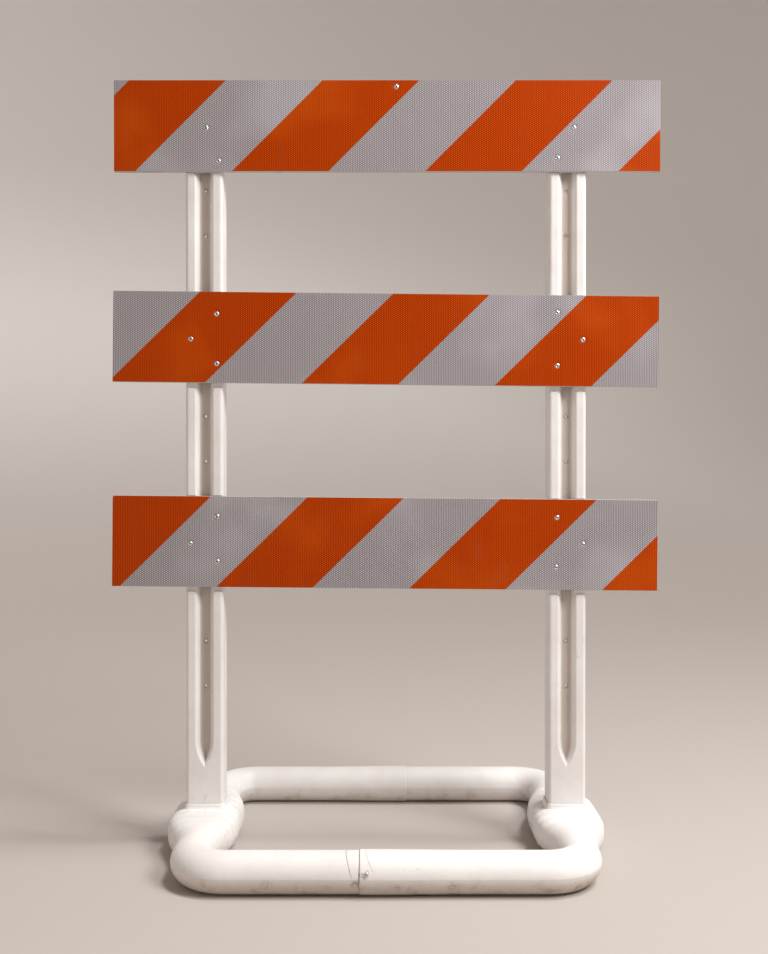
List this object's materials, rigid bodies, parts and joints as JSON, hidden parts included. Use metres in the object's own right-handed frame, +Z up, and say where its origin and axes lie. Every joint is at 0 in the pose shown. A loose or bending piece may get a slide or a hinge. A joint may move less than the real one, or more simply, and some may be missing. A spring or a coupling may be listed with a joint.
{
  "type": "road barricade",
  "caption": "Portable road barricade: orange and white striped boards riveted across hollow plastic uprights that plug into a closed loop base of round tube.",
  "frame": {"origin": "on the ground, in the middle of the loop base", "axes": "+Z up, -Y towards the striped side, +X to the right of someone who faces the stripes"},
  "size_m": [1.2251, 0.7128, 1.7116],
  "materials": {
    "moulded_polyethylene": "satin blow-moulded skin, lightly scuffed",
    "extruded_plastic": "satin extruded skin",
    "white_sheeting": "prismatic retroreflective sheeting with a fine cell pattern",
    "orange_film": "transparent orange film over prismatic sheeting",
    "rivet_aluminium": "satin, weathered",
    "mandrel_steel": "dull, broken end",
    "zinc_steel": "zinc plated"
  },
  "bodies": {
    "base": {"base_half_left": "moulded_polyethylene", "base_half_right": "moulded_polyethylene", "front_joint_screw": "zinc_steel", "rear_joint_screw": "zinc_steel"},
    "panel": {"upright_left": "moulded_polyethylene", "upright_right": "moulded_polyethylene", "board_top": "extruded_plastic", "white_sheeting_top": "white_sheeting", "orange_stripes_top": "orange_film", "rivets_top": "rivet_aluminium", "rivet_mandrels_top": "mandrel_steel", "board_middle": "extruded_plastic", "white_sheeting_middle": "white_sheeting", "orange_stripes_middle": "orange_film", "rivets_middle": "rivet_aluminium", "rivet_mandrels_middle": "mandrel_steel", "board_bottom": "extruded_plastic", "white_sheeting_bottom": "white_sheeting", "orange_stripes_bottom": "orange_film", "rivets_bottom": "rivet_aluminium", "rivet_mandrels_bottom": "mandrel_steel"}
  },
  "joints": [
    {"name": "panel_lift", "type": "slide", "parent": "base", "child": "panel", "axis": [0, 0, 1], "range_m": [0, 0.1]}
  ]
}
